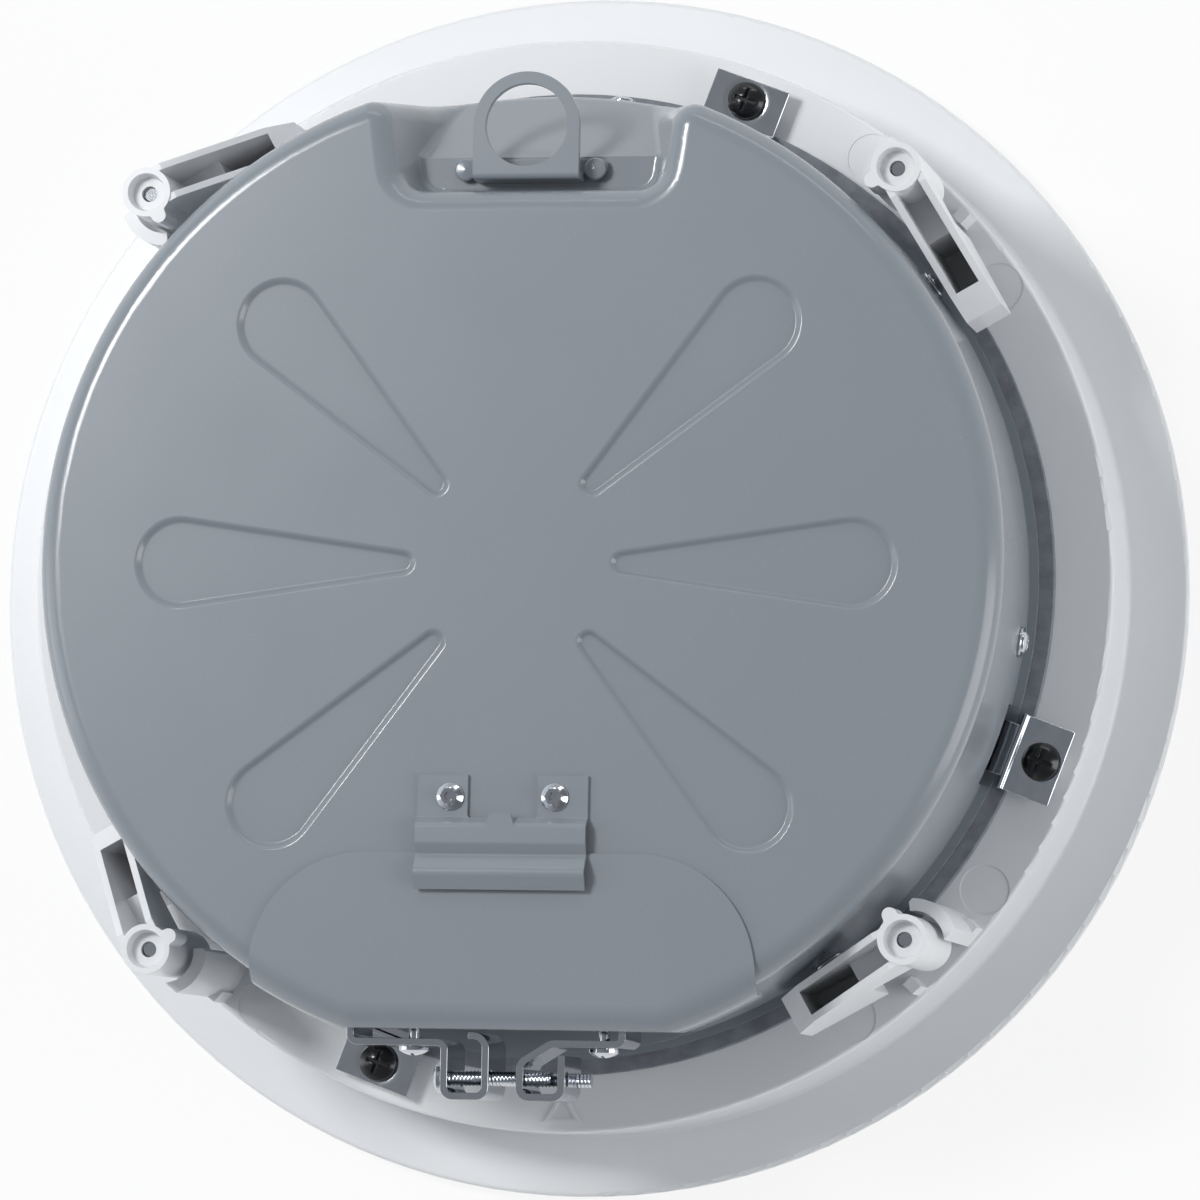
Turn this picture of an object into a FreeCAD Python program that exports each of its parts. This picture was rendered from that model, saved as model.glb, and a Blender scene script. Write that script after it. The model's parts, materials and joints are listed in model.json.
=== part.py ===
import FreeCAD, Part
import math
import os

V = FreeCAD.Vector
Z_AXIS = V(0, 0, 1)
os.makedirs("parts", exist_ok=True)

# All sizes are in millimetres. The part lies on its front: z = 0 is the front face.
# +Z points to the back can.

# Clearances
seat_gap = 0.3
run_gap = 0.07
screw_gap = 0.15

# Moulded ring: flange, hub, ledge and driver plate
flange_w = 16.4
flange_t = 7.0
flange_nose = 3.5
ledge_w = 20.0
ledge_t = 3.0
hub_wall = 2.4
well_inset = 4.1
well_wall = 3.0
well_depth = 20.0
plate_z = 18.0
plate_t = 3.0
plate_w = 27.5

# Front grille
grille_t = 1.2
grille_recess = 3.6
grille_play = 0.8
grille_lip = 3.2
grille_lip_t = 2.2
grille_dome_z = 0.8

# Back can
can_r = 124.6
can_t = 1.2
can_rise = 18.5
can_height = 52.7
can_edge = 6.2
flat_inset = 6.6
flat_corner = 6.0

# Pressed petals in the can's top
petal_angles = (0, 45, 135, 180, 225, 315)
petal_tip_r = 26.5
petal_margin = 27.5
petal_tip_round = 1.9
petal_lobe = 10.4
petal_depth = 1.3
petal_bevel = 1.1
petal_rim = 1.2
petal_root = 0.8
petal_centre_y = -1.5

# Pocket for the safety ring
pocket_x = 2.2
pocket_inset = 28.0
pocket_drop = 14.2
pocket_fall = 41.0
pocket_shelf_l = 7.7
pocket_half = 0.2817 * can_r
pocket_flare_y = 0.14
pocket_flare_z = 0.36
pocket_corner = 6.0
pocket_bend = 2.2
pocket_past = 15.0

# Collar and gasket under the can
gasket_in = 3.6
gasket_out = 5.0
gasket_t = 3.0
collar_t = 1.3
collar_gap = 0.2
collar_overlap = 9.5
collar_lip = 1.0
collar_lip_t = 1.2
side_screw_rise = 4.5
side_screw_angle = -7.9
side_screw_count = 8
side_screw_r = 1.4
side_screw_head_r = 4.0
side_washer_t = 0.6

# Retaining brackets
bracket_angle = 69.8
bracket_count = 4
bracket_width = 20.5
bracket_offset = 3.7
bracket_length = 12.7
bracket_t = 1.2
bracket_seat = 4.2
bracket_screw_out = 10.6
bracket_screw_r = 1.9
bracket_tongue_w = 14.0
bracket_tongue_in = 5.0
bracket_upstand = 2.6
bracket_head_r = 4.85
bracket_dish_r = 49.0
bracket_dish = 0.45
bracket_head_h = 3.0
bracket_post_r = 4.6
bracket_post_depth = 7.0
window_w = 22.0
window_h = 10.5

# Swing-out clamps, called dogs, with heights from the ledge up
dog_count = 4
dog_angle = 46.4
dog_out = 13.5
dog_stow = -107.0
dog_boss_r = 6.4
dog_rise = 63.6
dog_boss_rise = 20.0
dog_bore_r = 4.9
dog_bore_floor_r = 4.3
dog_bore_depth = 3.6
dog_arm_len = 38.2
dog_arm_half = 5.1
dog_arm_wall = 1.8
dog_channel_end = 32.0
dog_channel_rise = 41.0
dog_end_rise = 31.0
dog_foot_rise = 11.0
dog_foot_s = 15.5
dog_notch_rise = 39.0
dog_floor = 2.0
dog_nib_r = 1.9
dog_nib_l = 12.0
dog_neck_r = 1.6
dog_step = 0.4
dog_screw_r = 1.95
dog_screw_drop = 5.1
dog_head_r = 3.6
dog_head_h = 3.4
tower_gap = 1.6
tower_wall = 3.2
tower_rise = 45.0
tower_from = 38.0
tower_to = 140.0
tower_edge_gap = 1.1
rib_rise = 12.0
rib_w = 5.0
rib_gap = 0.8
knockout_r = 6.5
knockout_depth = 0.25
knockout_angles = (8.2, -12.0)
knockout_in = 0.6

# Triangle moulded on the ledge
mark_x = 1.7
mark_size = 5.0
mark_line = 0.8
mark_rise = 0.4
mark_out = 1.5

# Terminal cover and its spring clip
cover_x = -1.0
cover_half = 65.0
cover_inset = 49.6
cover_corner = 30.0
cover_t = 1.0
cover_stand = 1.6
cover_lip = 12.2
clip_half = 21.9
clip_t = 1.0
clip_step = 2.7
clip_crest = 3.4
clip_leg_w = 12.9
clip_leg_l = 19.6
clip_screw_l = 14.1
clip_screw_half = 13.45
clip_screw_r = 1.5
clip_head_r = 3.55

# Safety ring
ring_x = 0.3
ring_foot_half = 20.0
ring_wall_gap = 0.9
ring_t = 2.0
ring_rise = 9.0
ring_half = 13.8
ring_reach = 13.8
ring_hole_r = 10.65
rivet_half = 16.9
rivet_r = 1.6
rivet_head_r = 2.9
rivet_inset = 2.6

# Cable clamp
clamp_x = -2.6
clamp_drop = 24.2
clamp_half_h = 11.0
clamp_gap = 7.2
clamp_t = 1.8
clamp_bend = 1.4
clamp_foot_bend = 0.9
clamp_depth = 18.1
clamp_jaw_w = 10.7
clamp_standoff = 4.5
clamp_flange_fixed = 15.5
clamp_flange_moving = 24.5
clamp_travel = 5.0
clamp_screw_r = 1.95
clamp_screw_out = 13.4
clamp_screw_half = 7.5
clamp_tip_upper = 9.6
clamp_tip_lower = 17.0
clamp_head_r = 3.95
fixing_head_r = 3.9
fixing_screw_r = 1.5
fixing_x_fixed = 21.5
fixing_x_moving = -28.0
entry_r = 11.0

# Terminal cup and block
cup_x0 = -46.0
cup_x1 = 44.0
cup_wall_gap = 7.6
cup_l = 27.4
cup_depth = 29.2
cup_t = 1.0
cup_flange = 3.5
cup_corner = 4.0
cup_edge = 1.0
block_x0 = 6.0
block_x1 = 42.0
block_depth = 14.0
block_h = 16.0
block_poles = 6
block_screw_r = 2.0
block_screw_h = 2.0

# Loudspeaker driver
basket_overlap = 9.5
basket_t = 2.8
basket_gap = 1.5
basket_h = 42.0
basket_wall = 1.6
basket_arms = 6
basket_lip = 5.5
driver_screw_out = 5.0
driver_screw_shank_r = 1.7
driver_screws = 8
driver_screw_angle = 11.0
magnet_r = 55.0
magnet_step = 10.0
magnet_t = 18.0
top_plate_t = 6.0
back_plate_t = 6.0
pole_r = 18.0
pole_gap = 2.0
coil_gap = 0.6
coil_wall = 0.6
coil_reach = 8.0
coil_front = 4.0
cone_t = 0.6
neck_drop = 8.0
surround_gap = 2.0
surround_w = 14.0
surround_roll = 5.0
surround_t = 0.6
spider_t = 0.5
spider_wave = 3.0
post_r = 5.0
tweeter_r = 16.0
tweeter_set = 6.0
tweeter_h = 16.0
tweeter_dome_r = 12.0
tweeter_recess = 5.0
dome_travel = 0.3
dome_rise = 5.6
dome_t = 0.4

# Transformer, crossover and felt pad
core_inset = 44.6
core_stack = 22.0
core_w = 48.0
core_h = 40.0
core_limb = 16.0
core_window_h = 24.0
coil_over = 8.0
strap_t = 1.5
strap_foot = 10.0
strap_leg = 22.0
board_inset = 40.6
board_w = 44.0
board_l = 60.0
board_t = 1.6
board_drop = 8.4
board_margin = 4.0
spacer_r = 2.8
inductor_r = 15.0
inductor_h = 14.0
inductor_bore = 5.0
inductor_cheek = 1.5
capacitor_r = 6.0
capacitor_l = 28.0
pad_gap = 7.0
pad_t = 8.0

# Power tap switch
tap_angle = 200.0
tap_out = 16.0
tap_body_r = 7.6
tap_body_h = 12.0
tap_knob_r = 5.0
tap_shaft_r = 3.0
tap_front = 3.0

# Radii and places that follow from the can's radius
flat_y = can_r - flat_inset
hub_r = can_r + ledge_w
hub_in = hub_r - hub_wall
flange_r = hub_r + flange_w
well_r = can_r - well_inset
driver_hole_r = well_r - plate_w
can_in = can_r - can_t
petal_end_r = can_r - petal_margin
pocket_shelf_y0 = can_r - pocket_inset
pocket_shelf_y1 = pocket_shelf_y0 + pocket_shelf_l
pocket_back_y = pocket_shelf_y0 - pocket_bend
gasket_r0 = can_r - gasket_in
gasket_r1 = can_r + gasket_out
collar_r = can_in - collar_gap
bracket_r0 = can_r + bracket_offset
bracket_r1 = bracket_r0 + bracket_length
bracket_axis_r = can_r + bracket_screw_out
bracket_tongue_r = can_r - bracket_tongue_in
dog_r = can_r + dog_out
tower_edge_r = hub_r - tower_edge_gap
cover_top_y = cover_inset - can_r
clip_leg_y = cover_top_y + clip_leg_l
clip_screw_y = cover_top_y + clip_screw_l
ring_back_y = pocket_shelf_y0 + ring_wall_gap
ring_front_y = pocket_shelf_y1 - ring_wall_gap
ring_centre_y = ring_back_y + ring_reach
rivet_y = ring_front_y - rivet_inset
clamp_screw_y = flat_y + clamp_screw_out
clamp_grip = clamp_gap / 2 + clamp_t / 2
clamp_back = clamp_grip + clamp_jaw_w
clamp_wall_y = -flat_y - seat_gap
clamp_flange_y = -flat_y - clamp_standoff
clamp_out_y = -flat_y - clamp_depth
cup_y0 = cup_wall_gap - flat_y
cup_y1 = cup_y0 + cup_l
basket_r = driver_hole_r + basket_overlap
driver_screw_r = driver_hole_r + driver_screw_out
surround_r = driver_hole_r - surround_gap
cone_r = surround_r - surround_w
plate_ring_r = magnet_r - magnet_step
basket_throat_r = plate_ring_r + 3 * coil_wall + 1.2
gap_r = pole_r + pole_gap
magnet_hole_r = gap_r + magnet_step
coil_in = pole_r + coil_gap
coil_out = coil_in + coil_wall
tap_r = driver_hole_r + tap_out
core_x = core_inset - can_r
board_x = can_r - board_inset
pad_r = -core_x - core_stack / 2 - coil_over - pad_gap

# Heights that follow, from the front plate to the can's top
plate_under = plate_z - plate_t
ledge_z = plate_z + well_depth
ledge_under = ledge_z - ledge_t
gasket_top = ledge_z + gasket_t
can_foot = ledge_z + can_rise
can_top = can_foot + can_height
can_ceiling = can_top - can_t
petal_ceiling = can_ceiling - petal_depth
collar_top = can_foot + collar_overlap
side_screw_z = can_foot + side_screw_rise
bracket_z = ledge_z + bracket_seat
pocket_shelf_z = can_top - pocket_drop
pocket_low_z = can_top - pocket_fall
ring_top = pocket_shelf_z + ring_rise
cover_top = can_top + cover_t
cover_lip_z = can_top - cover_lip
clamp_z = can_top - clamp_drop
cup_floor_z = can_top - cup_depth
dog_top = ledge_z + dog_rise
dog_boss_low = ledge_z + dog_boss_rise
dog_channel_z = ledge_z + dog_channel_rise
dog_end_z = ledge_z + dog_end_rise
dog_foot_z = ledge_z + dog_foot_rise
dog_notch_z = ledge_z + dog_notch_rise
dog_screw_tip = dog_top - dog_screw_drop
tower_top = ledge_z + tower_rise
rib_top = ledge_z + rib_rise
basket_back_z = plate_z + basket_h
magnet_front = basket_back_z + top_plate_t
magnet_back = magnet_front + magnet_t
back_plate_back = magnet_back + back_plate_t
cone_front_z = plate_under - basket_t
cone_neck_z = basket_back_z - neck_drop
tweeter_front_z = plate_z - tweeter_set
core_top = petal_ceiling - strap_t
core_low = core_top - core_h
board_top = can_ceiling - board_drop
board_under = board_top - board_t
far = 400.0


def disc(radius, z0, z1, x=0.0, y=0.0):
    return Part.makeCylinder(radius, z1 - z0, V(x, y, z0))


def tube(outer, inner, z0, z1, x=0.0, y=0.0):
    return disc(outer, z0, z1, x, y).cut(disc(inner, z0 - 1, z1 + 1, x, y))


def slab(x0, x1, y0, y1, z0, z1):
    return Part.makeBox(x1 - x0, y1 - y0, z1 - z0, V(x0, y0, z0))


def rod(radius, start, end):
    """A round bar between two points."""
    return Part.makeCylinder(radius, (end - start).Length, start, end - start)


def turned_by(shape, angle):
    copy = shape.copy()
    copy.rotate(V(0, 0, 0), Z_AXIS, angle)
    return copy


def moved(shape, x=0.0, y=0.0, z=0.0):
    copy = shape.copy()
    copy.translate(V(x, y, z))
    return copy


def polar(radius, angle, z=0.0):
    a = math.radians(angle)
    return V(radius * math.cos(a), radius * math.sin(a), z)


def around(shape, count, first=0.0):
    """Copies of a shape at equal steps round the axis."""
    return [turned_by(shape, first + i * 360.0 / count) for i in range(count)]


def loop_wire(points, place):
    """A closed wire through (u, v) or (u, v, radius) points, with arcs where a radius is given."""
    edges = []
    count = len(points)
    ends = []
    for i, point in enumerate(points):
        here = V(point[0], point[1], 0)
        radius = point[2] if len(point) > 2 else 0
        if radius <= 0:
            ends.append((here, here, None))
            continue
        before = points[i - 1]
        after = points[(i + 1) % count]
        to_before = (V(before[0], before[1], 0) - here).normalize()
        to_after = (V(after[0], after[1], 0) - here).normalize()
        half = to_before.getAngle(to_after) / 2
        reach = radius / math.tan(half)
        bisector = (to_before + to_after).normalize()
        centre = here + bisector * (radius / math.sin(half))
        middle = centre - bisector * radius
        ends.append((here + to_before * reach, here + to_after * reach, middle))
    for i, (start, stop, middle) in enumerate(ends):
        previous = ends[i - 1][1]
        if (start - previous).Length > 1e-6:
            edges.append(Part.makeLine(place(previous.x, previous.y), place(start.x, start.y)))
        if middle is not None:
            arc = Part.Arc(place(start.x, start.y), place(middle.x, middle.y), place(stop.x, stop.y))
            edges.append(arc.toShape())
    return Part.Wire(edges)


def turned(points):
    """A solid turned about the Z axis from an (r, z) outline."""
    wire = loop_wire(points, lambda u, v: V(u, 0, v))
    return Part.Face(wire).revolve(V(0, 0, 0), Z_AXIS, 360)


def prism_z(points, z0, z1):
    wire = loop_wire(points, lambda u, v: V(u, v, z0))
    return Part.Face(wire).extrude(V(0, 0, z1 - z0))


def prism_x(points, x0, x1):
    wire = loop_wire(points, lambda u, v: V(x0, u, v))
    return Part.Face(wire).extrude(V(x1 - x0, 0, 0))


def prism_y(points, y0, y1):
    wire = loop_wire(points, lambda u, v: V(u, y0, v))
    return Part.Face(wire).extrude(V(0, y1 - y0, 0))


def ribbon(path, t):
    """The outline of a bent sheet of thickness t along (u, v, inner radius) points."""
    left = []
    right = []
    for i, point in enumerate(path):
        here = V(point[0], point[1], 0)
        bend = point[2] if len(point) > 2 else 0
        into = (here - V(path[i - 1][0], path[i - 1][1], 0)).normalize() if i > 0 else None
        out = None
        if i < len(path) - 1:
            out = (V(path[i + 1][0], path[i + 1][1], 0) - here).normalize()
        into = into or out
        out = out or into
        normal_in = V(-into.y, into.x, 0)
        normal_out = V(-out.y, out.x, 0)
        miter = (normal_in + normal_out).normalize()
        reach = t / 2 / miter.dot(normal_in)
        turn = into.x * out.y - into.y * out.x
        inner = bend if bend > 0 else 0
        outer = bend + t if bend > 0 else 0
        a = here + miter * reach
        b = here - miter * reach
        left.append((a.x, a.y, inner if turn > 0 else outer))
        right.append((b.x, b.y, outer if turn > 0 else inner))
    return left + right[::-1]


def fused(shapes):
    body = shapes[0].multiFuse(shapes[1:]).removeSplitter()
    return body.Solids[0] if len(body.Solids) == 1 else body


def save(name, shape):
    if isinstance(shape, list):
        shape = Part.makeCompound(shape)
    if not shape.isValid():
        print("not valid:", name)
    solids = len(shape.Solids)
    print(f"{name}: {solids} solid(s), {shape.Volume / 1000:.2f} cm3")
    shape.exportStep(f"parts/{name}.step")


def pan_screw(head_r, head_h, shank_r, shank_l, recess=True):
    """A domed screw at the origin: the head stands on z = 0 and the shank goes down."""
    side_h = head_h * 0.4
    rise = head_h - side_h
    ball_r = (head_r ** 2 + rise ** 2) / (2 * rise)
    dome = Part.makeSphere(ball_r, V(0, 0, head_h - ball_r))
    head = disc(head_r, 0, head_h).common(dome)
    if recess:
        slot = head_r * 0.62
        width = head_r * 0.2
        depth = head_h * 0.55
        for angle in (0, 90):
            bar = slab(-slot, slot, -width / 2, width / 2, head_h - depth, head_h + 1)
            head = head.cut(turned_by(bar, angle))
    shank = disc(shank_r, -shank_l, 0.0)
    return head.fuse(shank).removeSplitter()


def hex_bar(across, z0, z1):
    corner = across / math.sqrt(3)
    points = [polar(corner, 60 * i) for i in range(6)]
    return prism_z([(p.x, p.y) for p in points], z0, z1)


# The moulded ring
def ring_body():
    recess_r = hub_in + grille_play
    lip_r = hub_in - grille_lip
    outline = [
        (recess_r, 0),
        (flange_r - 1.5, 0, flange_nose),
        (flange_r, flange_t * 0.55, 2.0),
        (flange_r, flange_t, 1.2),
        (hub_r, flange_t, 1.6),
        (hub_r, ledge_z, 1.2),
        (well_r - well_wall, ledge_z, 0.8),
        (well_r - well_wall, plate_z, 1.0),
        (driver_hole_r, plate_z),
        (driver_hole_r, plate_under),
        (well_r, plate_under, 1.0),
        (well_r, ledge_under, 1.0),
        (hub_in, ledge_under, 1.0),
        (hub_in, grille_recess + grille_lip_t + 1.2),
        (lip_r, grille_recess + grille_lip_t),
        (lip_r, grille_recess),
        (recess_r, grille_recess),
    ]
    return turned(outline)


def tower():
    """The C-shaped guard and the ribs beside one clamp, at angle 0."""
    inner = dog_boss_r + tower_gap
    outer = inner + tower_wall
    sector = [(0, 0)]
    for i in range(5):
        a = math.radians(tower_from + (tower_to - tower_from) * i / 4)
        sector.append((40 * math.cos(a), 40 * math.sin(a)))
    guard = tube(outer, inner, ledge_z - 1, tower_top).common(prism_z(sector, ledge_z - 2, tower_top + 1))
    rib_x = dog_boss_r - rib_w
    near = slab(rib_x, rib_x + rib_w, inner - 1, outer + rib_gap, ledge_z - 1, rib_top)
    far_rib = slab(rib_x, rib_x + rib_w, -outer - rib_gap, -inner - 1, ledge_z - 1, rib_top)
    group = moved(guard.fuse(near).fuse(far_rib), dog_r)
    band = tube(tower_edge_r, gasket_r1 + rib_gap, ledge_z - 2, tower_top + 2)
    return group.common(band)


def triangle_mark():
    """The raised triangle that marks where the cable comes in."""
    low = -mark_size * 0.6
    outer = [(-mark_size, low), (mark_size, low), (0, mark_size)]
    inset = mark_size - 2 * mark_line
    inner = [(-inset, low + mark_line), (inset, low + mark_line), (0, inset)]
    mark = prism_z(outer, ledge_z - 0.5, ledge_z + mark_rise).cut(prism_z(inner, ledge_z - 1, ledge_z + 1))
    centre_r = (gasket_r1 + hub_r) / 2 + mark_out
    return moved(mark, mark_x, -centre_r)


def baffle():
    body = ring_body()
    towers = around(tower(), dog_count, dog_angle)
    post = disc(bracket_post_r, ledge_z - 1, bracket_z, bracket_axis_r)
    body = fused([body] + towers + around(post, bracket_count, bracket_angle) + [triangle_mark()])
    cuts = around(disc(dog_screw_r + run_gap, ledge_under - 1, ledge_z + 1, dog_r), dog_count, dog_angle)
    pilot = disc(bracket_screw_r + screw_gap, bracket_z - bracket_post_depth, bracket_z + 1, bracket_axis_r)
    cuts += around(pilot, bracket_count, bracket_angle)
    for step in knockout_angles:
        mark = disc(knockout_r, ledge_z - knockout_depth, ledge_z + 1, dog_r - knockout_in)
        cuts += around(mark, dog_count, dog_angle + step)
    pilot = disc(driver_screw_shank_r + screw_gap, plate_under - 1, plate_z + 1, driver_screw_r)
    cuts += around(pilot, driver_screws, driver_screw_angle)
    tap = polar(tap_r, tap_angle)
    cuts.append(disc(tap_shaft_r + run_gap, plate_under - 1, plate_z + 1, tap.x, tap.y))
    return body.cut(Part.makeCompound(cuts))


def front_grille():
    radius = hub_in + grille_play - seat_gap
    rim_z = grille_recess - seat_gap
    outline = [
        (0, grille_dome_z),
        (radius, grille_dome_z, 0.9),
        (radius, rim_z),
        (radius - grille_t, rim_z),
        (radius - grille_t, grille_dome_z + grille_t),
        (0, grille_dome_z + grille_t),
    ]
    return turned(outline)


# The steel back can and what is fixed to it
def can_form(grow, z0, top, corner_r):
    """The can's plan as a cup, set outwards by grow: round with one flat side and a rounded top edge."""
    form = can_block(grow, z0, top)
    rim = [e for e in form.Edges if e.BoundBox.ZMin > top - 0.01]
    return form.makeFillet(corner_r, rim)


def can_block(grow, z0, top):
    form = disc(can_r + grow, z0, top).common(slab(-far, far, -flat_y - grow, far, z0 - 1, top + 1))
    upright = [e for e in form.Edges if e.BoundBox.ZLength > 1 and abs(middle_of(e).y + flat_y + grow) < 0.01]
    return form.makeFillet(flat_corner + grow, upright)


def middle_of(edge):
    return edge.valueAt((edge.FirstParameter + edge.LastParameter) / 2)


def pocket_plan(z, grow):
    """The pocket's plan at one height: its sides lean outwards upwards and towards the wall."""
    lean = math.sqrt(1 + pocket_flare_y ** 2 + pocket_flare_z ** 2)
    back_y = pocket_back_y - grow
    wall_y = can_r + pocket_past
    back = pocket_half + pocket_flare_z * (z - can_top) + grow * lean
    wall = back + pocket_flare_y * (wall_y - back_y)
    corners = [(-back, back_y), (back, back_y), (wall, wall_y), (-wall, wall_y), (-back, back_y)]
    return Part.makePolygon([V(pocket_x + x, y, z) for x, y in corners])


def pocket_tool(grow):
    """The punch that presses the pocket in, set outwards by grow: a shelf that slopes away to the wall."""
    low = pocket_low_z - pocket_past
    high = can_top + pocket_past
    punch = Part.makeLoft([pocket_plan(low, grow), pocket_plan(high, grow)], True, True)
    fall = (pocket_shelf_z - pocket_low_z) / (can_r - pocket_shelf_y1)
    shelf_z = pocket_shelf_z - grow
    shelf_end = pocket_shelf_y1 + grow * math.tan(math.atan(fall) / 2)
    wall_y = can_r + 2 * pocket_past
    wall_z = shelf_z - (wall_y - shelf_end) * fall
    under = prism_x([(0, shelf_z), (shelf_end, shelf_z), (wall_y, wall_z), (wall_y, 0), (0, 0)], -far, far)
    punch = punch.cut(under)
    inside = []
    for edge in punch.Edges:
        middle = middle_of(edge)
        crease = abs(middle.x - pocket_x) < 1 and middle.y > pocket_back_y + 3
        if middle.y < can_r + pocket_past / 2 and middle.z < can_top + 3 and not crease:
            inside.append(edge)
    upright = [e for e in inside if e.BoundBox.ZMax > can_top + 3]
    punch = punch.makeFillet(pocket_corner + grow, upright)
    base = [e for e in punch.Edges if on_pocket_base(e, shelf_z, shelf_end, fall)]
    return punch.makeFillet(pocket_bend + grow, base)


def on_pocket_base(edge, shelf_z, shelf_end, fall):
    """Whether an edge of the punch runs round its bottom, and isn't the crease across it."""
    middle = middle_of(edge)
    floor_z = shelf_z - max(0.0, middle.y - shelf_end) * fall
    crease = abs(middle.x - pocket_x) < 1 and middle.y > pocket_back_y + 3
    return abs(middle.z - floor_z) < 0.05 and middle.y < can_r + pocket_past / 2 and not crease


def pressed_can(grow):
    """The can's whole pressed form, set outwards by grow, with the pocket and every top edge rounded."""
    top = can_top + grow
    radius = can_r + grow
    form = can_block(grow, can_foot + min(grow, 0.0), top).cut(pocket_tool(-grow))
    edges = []
    for edge in form.Edges:
        middle = middle_of(edge)
        on_top = edge.BoundBox.ZMin > top - 0.01
        on_wall = middle.y > 0 and abs(math.hypot(middle.x, middle.y) - radius) < 0.01
        if on_top or (on_wall and edge.BoundBox.ZMin > can_foot + 1):
            edges.append(edge)
    form = form.makeFillet(can_edge + grow, edges)
    return form.cut(Part.makeCompound(petal_tools(-grow)))


def softened(form):
    """The can's outer form with the petals' rims and roots rounded, as a press leaves them."""
    for z, radius in ((can_top, petal_rim), (can_top - petal_depth, petal_root)):
        level = [e for e in form.Edges if e.BoundBox.ZLength < 0.01 and abs(e.BoundBox.ZMin - z) < 0.01]
        reach = petal_end_r + petal_margin / 2
        petals = [e for e in level if math.hypot(middle_of(e).x, middle_of(e).y) < reach]
        form = form.makeFillet(radius, [e for e in petals if not on_can_rim(e)])
    return form


def on_can_rim(edge):
    """Whether a top edge belongs to the can's rounded rim or the pocket, and not to a petal."""
    box = edge.BoundBox
    return box.DiagonalLength > can_r or box.YMin > petal_end_r - petal_lobe or box.YMax < -petal_end_r


def petal_outline(offset, z):
    tip_r = petal_tip_round + offset
    lobe_r = petal_lobe + offset
    tip_x = petal_tip_r + petal_tip_round
    lobe_x = petal_end_r - petal_lobe
    lean = math.asin((lobe_r - tip_r) / (lobe_x - tip_x))
    side = math.pi / 2 + lean

    def at(x, radius, angle):
        return V(x + radius * math.cos(angle), radius * math.sin(angle), z)

    edges = [
        Part.Arc(at(lobe_x, lobe_r, -side), at(lobe_x, lobe_r, 0), at(lobe_x, lobe_r, side)).toShape(),
        Part.makeLine(at(lobe_x, lobe_r, side), at(tip_x, tip_r, side)),
        Part.Arc(at(tip_x, tip_r, side), at(tip_x, tip_r, math.pi), at(tip_x, tip_r, -side)).toShape(),
        Part.makeLine(at(tip_x, tip_r, -side), at(lobe_x, lobe_r, -side)),
    ]
    return Part.Wire(edges)


def petal_tools(grow):
    """Tapered teardrops that press the petals in, set outwards by grow."""
    top = can_top + petal_bevel
    bottom = can_top - petal_depth - grow
    spread = (top - bottom) * petal_bevel / petal_depth
    tool = Part.makeLoft([petal_outline(grow, bottom), petal_outline(grow + spread, top)], True, True)
    return [moved(turned_by(tool, angle), 0, petal_centre_y) for angle in petal_angles]


def back_can():
    crescent = disc(can_r, can_foot, can_foot + can_t)
    shell = softened(pressed_can(0)).fuse(crescent).cut(pressed_can(-can_t))
    cuts = [cup_window()]
    cuts.append(wall_bore(clamp_x, entry_r))
    for x in (fixing_x_fixed, fixing_x_moving):
        cuts.append(wall_bore(x, fixing_screw_r + screw_gap))
    for x in pair(cover_x, clip_screw_half):
        cuts.append(disc(clip_screw_r + screw_gap, can_ceiling - 1, can_top + 1, x, clip_screw_y))
    for x in pair(ring_x, rivet_half):
        cuts.append(disc(rivet_r + screw_gap, pocket_shelf_z - 2 * can_t, pocket_shelf_z + 1, x, rivet_y))
    cuts += side_screw_bores()
    return shell.cut(Part.makeCompound(cuts))


def pair(centre, half):
    return (centre - half, centre + half)


def cup_window():
    """The opening over the terminal cup, as large as the cup inside."""
    rim = cup_t + cup_edge
    window = slab(cup_x0 + rim, cup_x1 - rim, cup_y0 + rim, cup_y1 - rim, can_ceiling - 1, can_top + 1)
    upright = [e for e in window.Edges if e.BoundBox.ZLength > 1]
    return window.makeFillet(3.0, upright)


def wall_bore(x, radius):
    """A bore through the can's flat side at the cable clamp's height."""
    return rod(radius, V(x, -flat_y - 2, clamp_z), V(x, -flat_y + 2 * can_t + 1, clamp_z))


def side_screw_places():
    """The screw angles round the can, without the one that would fall on the flat side."""
    step = 360.0 / side_screw_count
    angles = [side_screw_angle + i * step for i in range(side_screw_count)]
    return [a for a in angles if can_r * math.sin(math.radians(a)) > -flat_y + side_screw_head_r]


def side_screw_bores():
    start = V(collar_r - collar_t - 4, 0, side_screw_z)
    bore = rod(side_screw_r + screw_gap, start, V(can_r + 4, 0, side_screw_z))
    return [turned_by(bore, a) for a in side_screw_places()]


def can_side_screws():
    head = pan_screw(side_screw_head_r * 0.75, 1.5, side_screw_r, can_t + collar_t + 3)
    washer = disc(side_screw_head_r, -side_washer_t, 0.0)
    screw = head.fuse(washer).removeSplitter()
    screw.rotate(V(0, 0, 0), V(0, 1, 0), 90)
    screw.translate(V(can_r + side_washer_t + 0.05, 0, side_screw_z))
    return [turned_by(screw, a) for a in side_screw_places()]


def can_collar():
    wall = tube(collar_r, collar_r - collar_t, gasket_top, collar_top)
    lip = tube(can_r + collar_lip, collar_r - collar_t, gasket_top, gasket_top + collar_lip_t)
    body = wall.fuse(lip).removeSplitter()
    flat_in = -flat_y + can_t + collar_t + 1.2
    body = body.cut(slab(-far, far, -far, flat_in, can_foot - seat_gap, far))
    low = bracket_z - 0.2
    window = slab(collar_r - 12, can_r + 8, -window_w / 2, window_w / 2, low, low + window_h)
    cuts = around(window, bracket_count, bracket_angle) + side_screw_bores()
    return body.cut(Part.makeCompound(cuts))


def can_gasket():
    return tube(gasket_r1, gasket_r0, ledge_z, gasket_top)


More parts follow.
